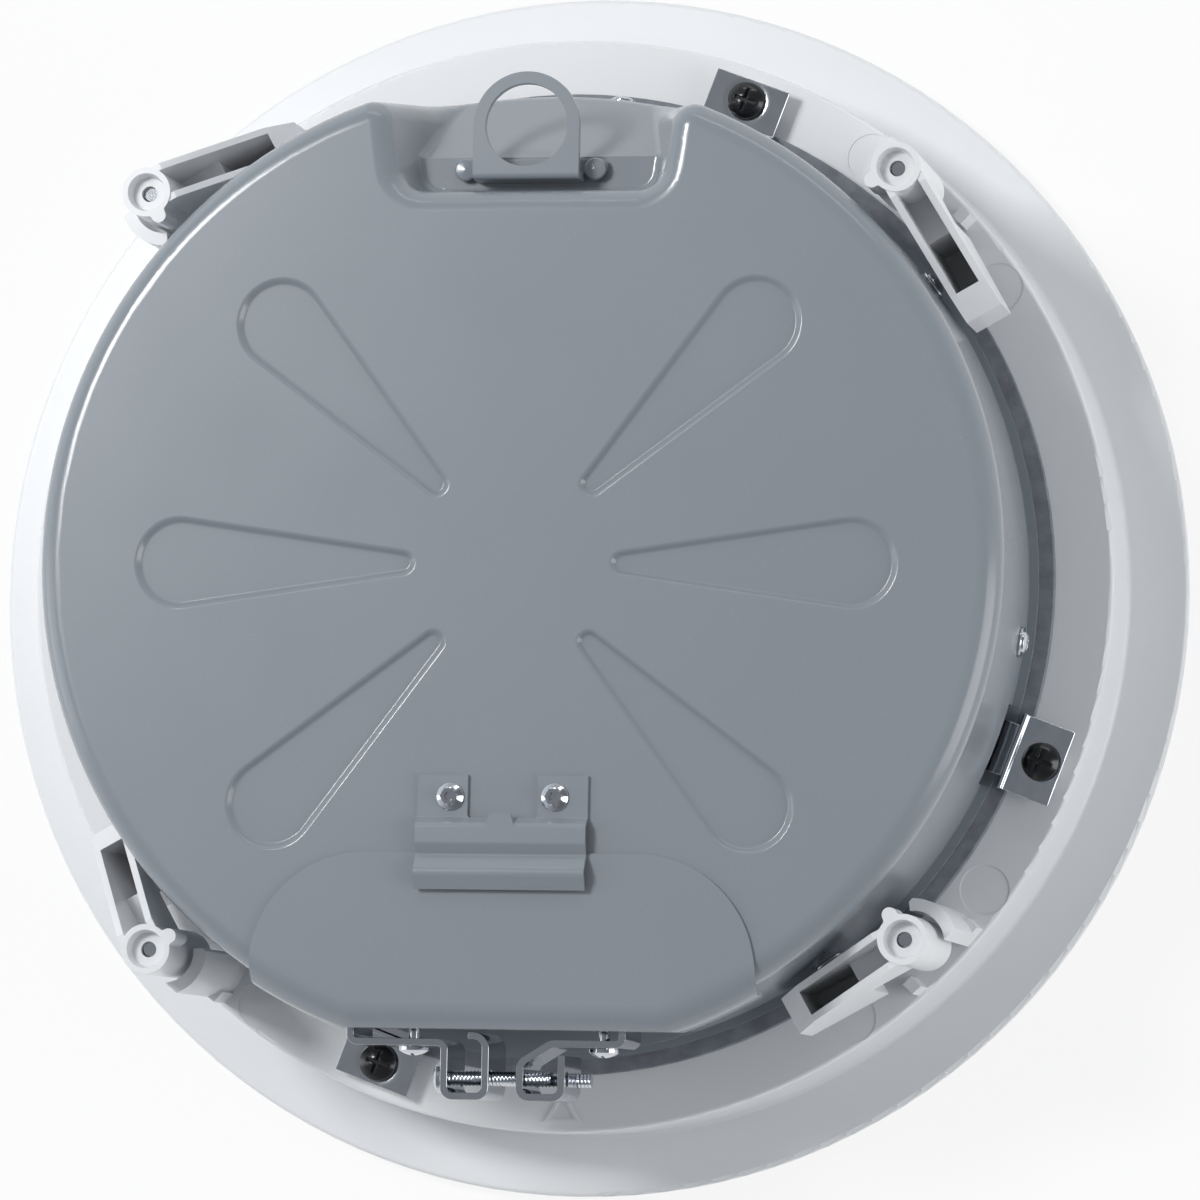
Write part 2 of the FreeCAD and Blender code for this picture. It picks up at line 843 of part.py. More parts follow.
def retaining_bracket():
    half = bracket_width / 2
    top = bracket_z + bracket_t
    plate = slab(bracket_r0 - bracket_t, bracket_r1, -half, half, bracket_z, top)
    upstand = slab(bracket_r0 - bracket_t, bracket_r0, -half, half, bracket_z, top + bracket_upstand)
    tongue_half = bracket_tongue_w / 2
    tongue = slab(bracket_tongue_r, bracket_r0, -tongue_half, tongue_half, bracket_z, top)
    body = fused([plate, upstand, tongue])
    dish = Part.makeSphere(bracket_dish_r, V(bracket_axis_r, 0, top + bracket_dish_r - bracket_dish))
    only_top = slab(bracket_r0, far, -far, far, bracket_z + 0.3, far)
    hole = disc(bracket_screw_r + screw_gap, bracket_z - 1, top + 1, bracket_axis_r)
    return body.cut(dish.common(only_top)).cut(hole)


def bracket_screws():
    screw = pan_screw(bracket_head_r, bracket_head_h, bracket_screw_r, bracket_post_depth + 0.2)
    screw = moved(screw, bracket_axis_r, 0, bracket_z + bracket_t)
    return around(screw, bracket_count, bracket_angle)


# The safety ring in the can's pocket
def safety_ring_bracket():
    foot_z = pocket_shelf_z
    left = ring_x - ring_half
    right = ring_x + ring_half
    step_y = ring_back_y + ring_t + 0.2
    foot = prism_z(
        [
            (ring_x - ring_foot_half, step_y, 1.5),
            (ring_x + ring_foot_half, step_y, 1.5),
            (ring_x + ring_foot_half, ring_front_y, 2.0),
            (ring_x - ring_foot_half, ring_front_y, 2.0),
        ],
        foot_z,
        foot_z + ring_t,
    )
    base = slab(left, right, ring_back_y, ring_front_y, foot_z, foot_z + ring_t)
    riser = slab(left, right, ring_back_y, ring_back_y + ring_t, foot_z, ring_top)
    tab = disc(ring_half, ring_top - ring_t, ring_top, ring_x, ring_centre_y)
    tab = tab.common(slab(-far, far, ring_centre_y - 1, far, ring_top - ring_t - 1, ring_top + 1))
    web = slab(left, right, ring_back_y, ring_centre_y, ring_top - ring_t, ring_top)
    body = fused([foot, base, riser, tab, web])
    body = body.makeFillet(ring_t * 0.7, [e for e in body.Edges if is_ring_bend(e)])
    cuts = [disc(ring_hole_r, ring_top - ring_t - 1, ring_top + 1, ring_x, ring_centre_y)]
    for x in pair(ring_x, rivet_half):
        cuts.append(disc(rivet_r + screw_gap, foot_z - 1, foot_z + ring_t + 1, x, rivet_y))
    return body.cut(Part.makeCompound(cuts))


def is_ring_bend(edge):
    """Whether an edge is the outer one where the riser bends into the ring."""
    box = edge.BoundBox
    return box.XLength > ring_half and box.ZMin > ring_top - 0.01 and box.YMax < ring_back_y + 0.01


def safety_ring_rivets():
    head_h = 1.4
    rim = (rivet_head_r, head_h * 0.65, 0.7)
    head = turned([(0, 0), (rivet_head_r, 0), rim, (0.01, head_h), (0, head_h)])
    rivet = head.fuse(disc(rivet_r, -ring_t - can_t, 0)).removeSplitter()
    return [moved(rivet, x, rivet_y, pocket_shelf_z + ring_t) for x in pair(ring_x, rivet_half)]


# The terminal cover with its spring clip
def terminal_cover():
    edge_r = can_edge + seat_gap
    outer = can_form(cover_stand + cover_t, cover_lip_z, cover_top, edge_r + cover_t)
    inner = can_form(cover_stand, cover_lip_z - 1, can_top, edge_r)
    wall_y = -flat_y - seat_gap
    outer = outer.cut(slab(-far, far, -far, wall_y - cover_t, cover_lip_z - 2, far))
    inner = inner.common(slab(-far, far, wall_y, 0, cover_lip_z - 2, far))
    x0, x1 = pair(cover_x, cover_half)
    low = -can_r - 20
    plan = [(x0, low), (x1, low), (x1, cover_top_y, cover_corner), (x0, cover_top_y, cover_corner)]
    return outer.cut(inner).common(prism_z(plan, cover_lip_z, cover_top + 1))


def cover_spring_clip():
    base = can_top + clip_t / 2
    over = cover_top + clip_t / 2 + 0.05
    edge = cover_top_y
    path = [
        (clip_leg_y, base),
        (edge + 8.6, base, 0.6),
        (edge + 6.8, base + clip_step, 0.6),
        (edge + 2.4, base + clip_step, 0.6),
        (edge - 0.6, over, 0.6),
        (edge - 4.9, over + clip_crest, 1.4),
        (edge - 9.2, over + clip_crest * 0.35),
    ]
    x0, x1 = pair(cover_x, clip_half)
    body = prism_x(ribbon(path, clip_t), x0, x1)
    slot = [
        (x0 + clip_leg_w, clip_leg_y + 1),
        (x0 + clip_leg_w, edge + 8.8, 0.8),
        (x1 - clip_leg_w, edge + 8.8, 0.8),
        (x1 - clip_leg_w, clip_leg_y + 1),
    ]
    body = body.cut(prism_z(slot, can_top - 1, can_top + 8))
    tongue_z = base + clip_step - clip_t / 2
    tongue = [(-4.8, edge + 6.5), (2.6, edge + 6.5), (1.6, edge + 9.8), (-3.8, edge + 9.8)]
    body = body.fuse(prism_z(tongue, tongue_z, tongue_z + clip_t)).removeSplitter()
    for x in pair(cover_x, clip_screw_half):
        body = body.cut(disc(clip_screw_r + screw_gap, can_top - 1, can_top + 4, x, clip_screw_y))
    return body


def cover_clip_screws():
    washer = turned([(0, 0), (clip_head_r, 0), (clip_head_r, 0.5, 0.4), (clip_screw_r + 0.5, 1.5), (0, 1.5)])
    top = hex_bar(3.9, 1.0, 2.6)
    socket = hex_bar(2.1, 1.4, 3.0)
    screw = fused([washer, top, disc(clip_screw_r, -6.0, 0.5)]).cut(socket)
    return [moved(screw, x, clip_screw_y, can_top + clip_t) for x in pair(cover_x, clip_screw_half)]


# The cable clamp on the can's flat side
def jaw_sheet(path, flange_side):
    """A jaw bent from sheet along (x, y, radius) points, with its two screw holes."""
    points = ribbon([(clamp_x + p[0], *p[1:]) for p in path], clamp_t)
    body = prism_z(points, clamp_z - clamp_half_h, clamp_z + clamp_half_h)
    for z in pair(clamp_z, clamp_screw_half):
        start = V(clamp_x, -clamp_screw_y, z)
        reach = V(flange_side * (clamp_back + 4), 0, 0)
        body = body.cut(rod(clamp_screw_r + run_gap, start, start + reach))
    return body


def fixing_bore(x, slot=0.0):
    """The hole for a fixing screw in a jaw's flange, made longer towards -X by slot."""
    y0 = clamp_flange_y - 4
    y1 = clamp_flange_y + 2
    radius = fixing_screw_r + screw_gap
    hole = rod(radius, V(x, y0, clamp_z), V(x, y1, clamp_z))
    if slot == 0.0:
        return hole
    far_end = rod(radius, V(x - slot, y0, clamp_z), V(x - slot, y1, clamp_z))
    return fused([hole, far_end, slab(x - slot, x, y0, y1, clamp_z - radius, clamp_z + radius)])


def cable_clamp_fixed_jaw():
    """The right jaw: its flange runs along the wall and swings out to the grip, then turns back."""
    end = clamp_back + clamp_flange_fixed
    path = [
        (end, clamp_wall_y),
        (end, clamp_flange_y, clamp_foot_bend),
        (clamp_back - 2.7, clamp_flange_y, 2.4),
        (clamp_grip, clamp_flange_y - 5.0, 2.0),
        (clamp_grip, clamp_out_y, clamp_bend),
        (clamp_back, clamp_out_y, clamp_bend),
        (clamp_back, clamp_flange_y - clamp_t - 1.2),
    ]
    return jaw_sheet(path, 1).cut(fixing_bore(fixing_x_fixed))


def cable_clamp_moving_jaw():
    """The left jaw: its grip starts with a rolled lip, and its flange is slotted to slide."""
    end = clamp_back + clamp_flange_moving
    lip_y = clamp_wall_y - 2.4
    path = [
        (-clamp_grip - 4.6, lip_y),
        (-clamp_grip, lip_y, 2.4),
        (-clamp_grip, clamp_out_y, clamp_bend),
        (-clamp_back, clamp_out_y, clamp_bend),
        (-clamp_back, clamp_flange_y, clamp_foot_bend),
        (-end, clamp_flange_y, clamp_foot_bend),
        (-end, clamp_wall_y),
    ]
    return jaw_sheet(path, -1).cut(fixing_bore(fixing_x_moving, clamp_travel + 0.5))


def cable_clamp_screws():
    seat_x = clamp_x - clamp_back - clamp_t / 2
    screws = []
    tips = (clamp_tip_lower, clamp_tip_upper)
    for z, tip in zip(pair(clamp_z, clamp_screw_half), tips):
        screw = pan_screw(clamp_head_r, 2.5, clamp_screw_r, tip - seat_x)
        screw.rotate(V(0, 0, 0), V(0, 1, 0), -90)
        screw.translate(V(seat_x, -clamp_screw_y, z))
        screws.append(screw)
    return screws


def clamp_fixing_screws():
    y = clamp_flange_y - clamp_t / 2 - 0.1
    screws = []
    for x in (fixing_x_fixed, fixing_x_moving):
        screw = pan_screw(fixing_head_r, 2.3, fixing_screw_r, clamp_standoff + clamp_t / 2 + can_t + 2.2)
        screw.rotate(V(0, 0, 0), V(1, 0, 0), 90)
        screw.translate(V(x, y, clamp_z))
        screws.append(screw)
    return screws


# The swing-out clamps
def dog():
    """One clamp with its screw axis on Z and its arm along +X."""
    boss = disc(dog_boss_r, dog_boss_low, dog_top)
    arm = dog_arm()
    bore = turned(
        [
            (0, 0),
            (dog_bore_floor_r, 0),
            (dog_bore_r, dog_bore_depth),
            (dog_bore_r, dog_bore_depth + 2),
            (0, dog_bore_depth + 2),
        ]
    )
    hole = disc(dog_screw_r + run_gap, dog_boss_low - 1, dog_top + 1)
    return fused([boss, dog_nib(), arm]).cut(moved(bore, 0, 0, dog_top - dog_bore_depth)).cut(hole)


def dog_nib():
    """The round stop on the boss, with a concave neck on each side."""
    top = dog_top
    low = dog_top - dog_nib_l
    out = dog_boss_r + dog_nib_r * 0.3
    nib = disc(dog_nib_r, low, top, 0, -out)
    neck = slab(-dog_nib_r - dog_neck_r * 0.7, dog_nib_r + dog_neck_r * 0.7, -out, 0, low, top)
    for side in (-1, 1):
        neck = neck.cut(disc(dog_neck_r, low - 1, top + 1, side * (dog_nib_r + dog_neck_r), -out))
    return nib.fuse(neck)


def dog_arm():
    side = [
        (0, dog_notch_z),
        (dog_foot_s, dog_notch_z, 1.5),
        (dog_foot_s, dog_foot_z),
        (dog_arm_len, dog_foot_z, 0.8),
        (dog_arm_len, dog_end_z, 0.8),
        (dog_channel_end, dog_channel_z),
        (dog_boss_r, dog_top - dog_step),
        (0, dog_top - dog_step),
    ]
    inner = dog_arm_half - dog_arm_wall
    step = dog_foot_s + dog_arm_wall
    channel = [
        (0, dog_notch_z + dog_floor),
        (step, dog_notch_z + dog_floor),
        (step, dog_foot_z + dog_floor),
        (dog_channel_end, dog_foot_z + dog_floor),
        (dog_channel_end, dog_top + 5),
        (0, dog_top + 5),
    ]
    return prism_y(side, -dog_arm_half, dog_arm_half).cut(prism_y(channel, -inner, inner))


def dog_screw():
    head_top = ledge_under - seat_gap
    head_low = head_top - dog_head_h
    head = disc(dog_head_r, head_low, head_top)
    for angle in (0, 90):
        bar = slab(-2.2, 2.2, -0.5, 0.5, head_low - 1, head_low + 1.6)
        head = head.cut(turned_by(bar, angle))
    start = head_top - 0.5
    chamfer = 0.7
    shank = [
        (0, start),
        (dog_screw_r, start),
        (dog_screw_r, dog_screw_tip - chamfer),
        (dog_screw_r - chamfer, dog_screw_tip),
        (0, dog_screw_tip),
    ]
    return head.fuse(turned(shank)).removeSplitter()


def placed_dog(shape, index, stow):
    angle = dog_angle + index * 360.0 / dog_count
    at = polar(dog_r, angle)
    return moved(turned_by(shape, angle + stow), at.x, at.y)


# The loudspeaker driver
def woofer_basket():
    face_z = plate_under - basket_t
    slope_r = driver_hole_r - basket_gap
    inner_r = surround_r - basket_lip
    body = turned(
        [
            (inner_r, face_z),
            (basket_r, face_z, 0.6),
            (basket_r, plate_under),
            (slope_r, plate_under),
            (slope_r, plate_z + 2, 2.0),
            (basket_throat_r + 2, basket_back_z, 1.0),
            (gap_r + 1, basket_back_z),
            (gap_r + 1, basket_back_z - 2),
            (basket_throat_r, basket_back_z - 2),
            (slope_r - basket_wall - 1, plate_z + 2),
            (inner_r, plate_under - 0.4),
        ]
    )
    near = basket_throat_r + 6
    away = slope_r - 3.5
    window = [(near, -near / 6), (away, -away / 4.6), (away, away / 4.6), (near, near / 6)]
    cuts = around(prism_z(window, plate_z + 6, basket_back_z - 5), basket_arms)
    pilot = disc(driver_screw_shank_r + screw_gap, face_z - 1, plate_under + 1, driver_screw_r)
    cuts += around(pilot, driver_screws, driver_screw_angle)
    return body.cut(Part.makeCompound(cuts))


def woofer_screws():
    screw = pan_screw(3.3, 2.0, driver_screw_shank_r, basket_t + plate_t + 2.5)
    screw.rotate(V(0, 0, 0), V(1, 0, 0), 180)
    screw = moved(screw, driver_screw_r, 0, plate_under - basket_t)
    return around(screw, driver_screws, driver_screw_angle)


def woofer_back_plate():
    plate = disc(magnet_r - 3, magnet_back, back_plate_back)
    pole = disc(pole_r, basket_back_z - 1, magnet_back + 1)
    return plate.fuse(pole).removeSplitter().cut(disc(post_r + 0.05, 0, far))


def voice_coil():
    return tube(coil_out, coil_in, cone_neck_z - coil_front, magnet_front + coil_reach)


def woofer_cone():
    rim = cone_front_z + 0.3
    inner = coil_out + 0.05
    return turned(
        [
            (inner, cone_neck_z),
            (cone_r - 3, rim, 2.0),
            (cone_r, rim),
            (cone_r, rim + cone_t),
            (cone_r - 3, rim + cone_t, 2.0),
            (inner, cone_neck_z + 2 * cone_t),
        ]
    )


def woofer_surround():
    z = cone_front_z
    inner_r = cone_r + 0.3
    roll_in = inner_r + 1.0
    roll_out = roll_in + 2 * surround_roll
    t = surround_t
    outline = [
        (inner_r - 3, z - t),
        (roll_in, z - t, 1.0),
        (roll_in + 1.2, z - surround_roll - t, 3.0),
        (roll_out - 1.2, z - surround_roll - t, 3.0),
        (roll_out, z - t, 1.0),
        (surround_r, z - t),
        (surround_r, z),
        (roll_out - t, z, 0.4),
        (roll_out - 1.8, z - surround_roll, 2.4),
        (roll_in + 1.8, z - surround_roll, 2.4),
        (roll_in + t, z, 0.4),
        (inner_r - 3, z),
    ]
    return turned(outline)


def woofer_spider():
    z = basket_back_z - 2.0
    inner_r = coil_out + 0.05
    outer_r = plate_ring_r + 1.5
    pitch = (outer_r - inner_r - 8) / 4
    low = spider_wave + 1.2
    top = [(inner_r, z - low)]
    for i in range(5):
        drop = low if i % 2 == 0 else low - spider_wave
        top.append((inner_r + 3 + i * pitch, z - drop, 0.8))
    top += [(outer_r - 4, z - spider_t, 0.4), (outer_r, z - spider_t)]
    under = [(p[0], p[1] + spider_t, *p[2:]) for p in top]
    return turned(top + under[::-1])


def tweeter_post():
    return disc(post_r, tweeter_front_z + tweeter_h, back_plate_back - 1)


def tweeter_body():
    face = tweeter_front_z
    back = face + tweeter_h
    mouth_r = tweeter_dome_r + 1.0
    return turned(
        [
            (mouth_r, face),
            (tweeter_r, face, 1.2),
            (tweeter_r, back - 4, 2.0),
            (tweeter_r - 5, back),
            (0, back),
            (0, face + tweeter_recess),
            (mouth_r, face + tweeter_recess),
        ]
    )


def tweeter_dome():
    edge_z = tweeter_front_z + tweeter_recess - dome_travel - seat_gap
    ball = (tweeter_dome_r ** 2 + dome_rise ** 2) / (2 * dome_rise)
    centre = V(0, 0, edge_z - dome_rise + ball)
    cap = Part.makeSphere(ball, centre).common(disc(tweeter_dome_r, edge_z - dome_rise - 1, edge_z))
    return cap.cut(Part.makeSphere(ball - dome_t, centre))


# Inside the can
def terminal_cup():
    """A tub under the can's window, open at the top and towards the cable clamp."""
    top = can_ceiling - seat_gap
    low = top - cup_t
    outer = slab(cup_x0, cup_x1, cup_y0, cup_y1, cup_floor_z, top)
    inner = slab(cup_x0 + cup_t, cup_x1 - cup_t, cup_y0 + cup_t, cup_y1 - cup_t, cup_floor_z + cup_t, far)
    x0 = cup_x0 - cup_flange
    x1 = cup_x1 + cup_flange
    y1 = cup_y1 + cup_flange
    r = cup_corner
    flange = prism_z([(x0, cup_y0, r), (x1, cup_y0, r), (x1, y1, r), (x0, y1, r)], low, top)
    body = outer.fuse(flange).removeSplitter().cut(inner)
    entry = rod(entry_r, V(clamp_x, cup_y0 - 2, clamp_z), V(clamp_x, cup_y0 + 4, clamp_z))
    floor_clear = slab(-far, far, -far, far, 0, cup_floor_z + cup_t)
    return body.cut(entry.cut(floor_clear))


def terminal_block():
    low = cup_floor_z + cup_t
    top = low + block_h
    mid_y = (cup_y0 + cup_y1) / 2
    y0, y1 = pair(mid_y, block_depth / 2)
    body = slab(block_x0, block_x1, y0, y1, low, top)
    for x in block_places():
        body = body.cut(disc(block_screw_r + 0.2, top - block_screw_h - 1, top + 1, x, mid_y))
        body = body.cut(slab(x - 1.8, x + 1.8, y0 - 1, y0 + 4, low + 4, low + 9))
    return body


def block_places():
    pitch = (block_x1 - block_x0) / block_poles
    return [block_x0 + (i + 0.5) * pitch for i in range(block_poles)]


def terminal_block_screws():
    low = cup_floor_z + cup_t + block_h - block_screw_h - 1
    mid_y = (cup_y0 + cup_y1) / 2
    slot = slab(-block_screw_r - 0.2, block_screw_r + 0.2, -0.35, 0.35, low + 1.2, low + 3)
    screw = disc(block_screw_r, low, low + block_screw_h).cut(slot)
    return [moved(screw, x, mid_y) for x in block_places()]


def transformer_core():
    x0, x1 = pair(core_x, core_stack / 2)
    body = slab(x0, x1, -core_w / 2, core_w / 2, core_low, core_top)
    window_y = (core_w - 2 * core_limb) / 2
    z0, z1 = pair((core_low + core_top) / 2, core_window_h / 2)
    for y in pair(0, (core_limb + window_y) / 2):
        body = body.cut(slab(x0 - 1, x1 + 1, y - window_y / 2, y + window_y / 2, z0, z1))
    return body


def transformer_coil():
    mid = (core_low + core_top) / 2
    half_y = core_w / 2 - core_limb / 2 - seat_gap
    half_z = core_window_h / 2 - seat_gap
    half_x = core_stack / 2 + coil_over
    body = slab(core_x - half_x, core_x + half_x, -half_y, half_y, mid - half_z, mid + half_z)
    upright = [e for e in body.Edges if e.BoundBox.ZLength > 1]
    body = body.makeFillet(3.0, upright)
    hole_x = core_stack / 2 + seat_gap
    hole_y = core_limb / 2 + seat_gap
    return body.cut(slab(core_x - hole_x, core_x + hole_x, -hole_y, hole_y, mid - core_h, mid + core_h))


def transformer_bracket():
    x0, x1 = pair(core_x, core_stack / 2 - 1)
    half = core_w / 2 + seat_gap
    wide = half + strap_foot
    plate = slab(x0, x1, -wide, wide, core_top, petal_ceiling)
    left = slab(x0, x1, -half - strap_t, -half, petal_ceiling - strap_leg, petal_ceiling)
    right = slab(x0, x1, half, half + strap_t, petal_ceiling - strap_leg, petal_ceiling)
    return fused([plate, left, right])


def crossover_board():
    half = board_w / 2
    body = slab(board_x - half, board_x + half, -board_l / 2, board_l / 2, board_under, board_top)
    for x, y in board_corners():
        body = body.cut(disc(spacer_r - 1.2, board_under - 1, board_top + 1, x, y))
    return body


def board_corners():
    xs = pair(board_x, board_w / 2 - board_margin)
    ys = pair(0, board_l / 2 - board_margin)
    return [(x, y) for x in xs for y in ys]


def board_spacers():
    return [disc(spacer_r, board_top, can_ceiling, x, y) for x, y in board_corners()]


def crossover_inductor():
    y = -inductor_r + 1
    low = board_under - inductor_h
    bobbin = tube(inductor_r - 1.5, inductor_bore, low, board_under, board_x, y)
    wire = tube(inductor_r, inductor_r - 3, low + inductor_cheek, board_under - inductor_cheek, board_x, y)
    return bobbin.cut(wire)


def crossover_capacitors():
    capacitors = []
    for i in range(2):
        y = capacitor_r + 3 + i * (2 * capacitor_r + 1.5)
        start = V(board_x - capacitor_l / 2, y, board_under - capacitor_r)
        capacitors.append(rod(capacitor_r, start, start + V(capacitor_l, 0, 0)))
    return capacitors


def damping_pad():
    top = petal_ceiling - seat_gap
    return disc(pad_r, top - pad_t, top)


# The power tap switch on the driver plate
def tap_switch_body():
    at = polar(tap_r, tap_angle)
    body = disc(tap_body_r, plate_z, plate_z + tap_body_h, at.x, at.y)
    return body.cut(disc(tap_shaft_r + run_gap, plate_z - 1, plate_z + 5, at.x, at.y))


def tap_switch_knob():
    at = polar(tap_r, tap_angle)
    low = grille_recess + tap_front
    high = plate_under - seat_gap
    knob = disc(tap_knob_r, low, high)
    pointer = slab(-1.0, 1.0, 1.2, tap_knob_r + 1, low - 1, low + 0.8)
    shaft = disc(tap_shaft_r, high - 1, plate_z + 4)
    body = knob.fuse(shaft).removeSplitter().cut(pointer)
    return moved(turned_by(body, tap_angle), at.x, at.y)


save("baffle", baffle())
save("front_grille", front_grille())
save("can_gasket", can_gasket())
save("can_collar", can_collar())
save("back_can", back_can())
save("can_side_screws", can_side_screws())
for number, bracket in enumerate(around(retaining_bracket(), bracket_count, bracket_angle), 1):
    save(f"retaining_bracket_{number}", bracket)
save("bracket_screws", bracket_screws())
save("safety_ring_bracket", safety_ring_bracket())
save("safety_ring_rivets", safety_ring_rivets())
save("terminal_cover", terminal_cover())
save("cover_spring_clip", cover_spring_clip())
save("cover_clip_screws", cover_clip_screws())
save("cable_clamp_fixed_jaw", cable_clamp_fixed_jaw())
save("cable_clamp_moving_jaw", cable_clamp_moving_jaw())
save("cable_clamp_screws", cable_clamp_screws())
save("clamp_fixing_screws", clamp_fixing_screws())
for number in range(dog_count):
    save(f"dog_{number + 1}", placed_dog(dog(), number, dog_stow))
    save(f"dog_screw_{number + 1}", placed_dog(dog_screw(), number, dog_stow))
save("woofer_basket", woofer_basket())
save("woofer_screws", woofer_screws())
save("woofer_top_plate", tube(plate_ring_r, gap_r, basket_back_z, magnet_front))
save("woofer_magnet", tube(magnet_r, magnet_hole_r, magnet_front, magnet_back))
save("woofer_back_plate", woofer_back_plate())
save("voice_coil", voice_coil())
save("woofer_cone", woofer_cone())
save("woofer_surround", woofer_surround())
save("woofer_spider", woofer_spider())
save("tweeter_post", tweeter_post())
save("tweeter_body", tweeter_body())
save("tweeter_dome", tweeter_dome())
save("terminal_cup", terminal_cup())
save("terminal_block", terminal_block())
save("terminal_block_screws", terminal_block_screws())
save("transformer_core", transformer_core())
save("transformer_coil", transformer_coil())
save("transformer_bracket", transformer_bracket())
save("crossover_board", crossover_board())
save("board_spacers", board_spacers())
save("crossover_inductor", crossover_inductor())
save("crossover_capacitors", crossover_capacitors())
save("damping_pad", damping_pad())
save("tap_switch_body", tap_switch_body())
save("tap_switch_knob", tap_switch_knob())
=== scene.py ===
import json
import math

import bmesh
import bpy
from mathutils import Matrix, Vector

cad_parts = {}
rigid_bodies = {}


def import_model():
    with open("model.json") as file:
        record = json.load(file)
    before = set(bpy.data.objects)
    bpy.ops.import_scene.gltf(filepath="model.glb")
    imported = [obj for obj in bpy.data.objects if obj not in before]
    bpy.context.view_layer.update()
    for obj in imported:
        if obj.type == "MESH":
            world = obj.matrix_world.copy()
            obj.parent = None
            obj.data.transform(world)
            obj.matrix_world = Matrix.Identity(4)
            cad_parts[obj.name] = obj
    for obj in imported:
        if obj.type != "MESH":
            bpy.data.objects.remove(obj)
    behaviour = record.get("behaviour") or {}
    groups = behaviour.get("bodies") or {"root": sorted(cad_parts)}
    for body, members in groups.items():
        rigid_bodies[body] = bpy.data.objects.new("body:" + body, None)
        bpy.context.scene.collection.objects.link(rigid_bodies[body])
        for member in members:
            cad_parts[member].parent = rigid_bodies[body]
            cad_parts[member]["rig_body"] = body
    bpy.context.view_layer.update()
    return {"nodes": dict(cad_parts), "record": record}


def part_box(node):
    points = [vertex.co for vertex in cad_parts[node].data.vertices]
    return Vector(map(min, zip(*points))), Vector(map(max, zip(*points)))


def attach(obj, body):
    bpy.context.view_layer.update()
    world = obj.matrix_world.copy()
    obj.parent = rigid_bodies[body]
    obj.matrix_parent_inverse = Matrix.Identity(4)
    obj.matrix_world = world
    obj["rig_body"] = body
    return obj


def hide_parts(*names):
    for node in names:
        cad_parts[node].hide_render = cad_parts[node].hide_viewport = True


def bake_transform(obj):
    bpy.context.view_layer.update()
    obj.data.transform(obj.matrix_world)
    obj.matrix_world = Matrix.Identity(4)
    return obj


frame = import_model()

MM = 0.001
scene = bpy.context.scene
nodes = frame["nodes"]

# The photograph's camera, in the part's own frame, in metres
CAMERA_PLACE = (0.34331, -0.15996, 1.76746)
CAMERA_RIGHT = (0.982, 0.0193, -0.1881)
CAMERA_BACK = (0.189, -0.0879, 0.978)
SENSOR_W = 36.0
LENS = 201.66
FAR_CLIP = 50.0

# Heights of the fine reliefs in the materials, in metres
GRAIN_HEIGHT = 0.00004
MARK_HEIGHT = 0.00005
SHEET_HEIGHT = 0.0001
PORE_HEIGHT = 0.00012
WEAVE_HEIGHT = 0.0002
WIRE_HEIGHT = 0.0002

# Dressing of the solids: widths of the rounded edges in mm, angles in degrees
WELD = 2e-6
FLAT_ANGLE = 0.4
SHARP_ANGLE = 32.0
RING_SHARP_ANGLE = 40.0
THREAD_SHARP_ANGLE = 28.0
PLAIN_EDGE = 0.15
EDGES = {
    "baffle": 0.35,
    "back_can": 0.25,
    "can_collar": 0.2,
    "can_gasket": 0.3,
    "terminal_cover": 0.2,
    "cable_clamp_fixed_jaw": 0.42,
    "cable_clamp_moving_jaw": 0.42,
    "safety_ring_bracket": 0.3,
    "cover_clip_screws": 0.1,
    "bracket_screws": 0.12,
    "clamp_fixing_screws": 0.12,
    "can_side_screws": 0.12,
    "safety_ring_rivets": 0.12,
}
for number in range(1, 5):
    EDGES[f"retaining_bracket_{number}"] = 0.3
    EDGES[f"dog_{number}"] = 0.3

# The soft rings that carry the cone: how many wedges each is cut into
WEDGES = 12

# Threads: the axis a screw lies along, then the thread's pitch and the head's height in mm
THREADED = {"cable_clamp_screws": (0, 0.95, 2.5)}
for number in range(1, 5):
    THREADED[f"dog_screw_{number}"] = (2, 0.9, 3.4)
SCREW_R = 1.95
SHANK_MARGIN = 0.02
THREAD_DEPTH = 0.38
THREAD_LEAD = 0.3
AROUND = 20
PER_TURN = 6

# The perforated grille, in mm
HOLE_PITCH = 4.0
HOLE_R = 1.28
HOLE_SIDES = 8
HOLE_MARGIN = 0.6
GRILLE_T = 1.2
GRILLE_EDGE_R = 0.9
EDGE_STEPS = 4
SOLID_RIM = 4.5
RIM_STEPS = 360
CLOTH_SIDES = 128

# Floor and studio light: sizes in metres, lamps in watts
FLOOR_R = 6.0
FLOOR_SIDES = 96
FLOOR_DROP = 0.0002
FLOOR_GLOW = 0.85
HORIZON = 0.9
ZENITH = 0.26
HORIZON_Z = 0.05
ZENITH_Z = 0.5
LIT_SIDE = (-0.87, 0.5, 0.0)
LIT_SHARE = 1.36
SKY_COLOR = (0.91, 0.955, 1.0, 1.0)
LAMP_TARGET = (0.0, 0.0, 0.06)
LAMPS = (
    ("key", (-0.95, 0.55, 1.85), 0.5, 0.5, 23.0),
    ("right_strip", (1.5, -0.3, 0.5), 0.8, 1.5, 12.0),
    ("top_strip", (0.3, 1.6, 1.0), 1.5, 0.1, 3.0),
    ("left_strip", (-1.5, -0.1, 0.6), 0.5, 1.4, 3.0),
)


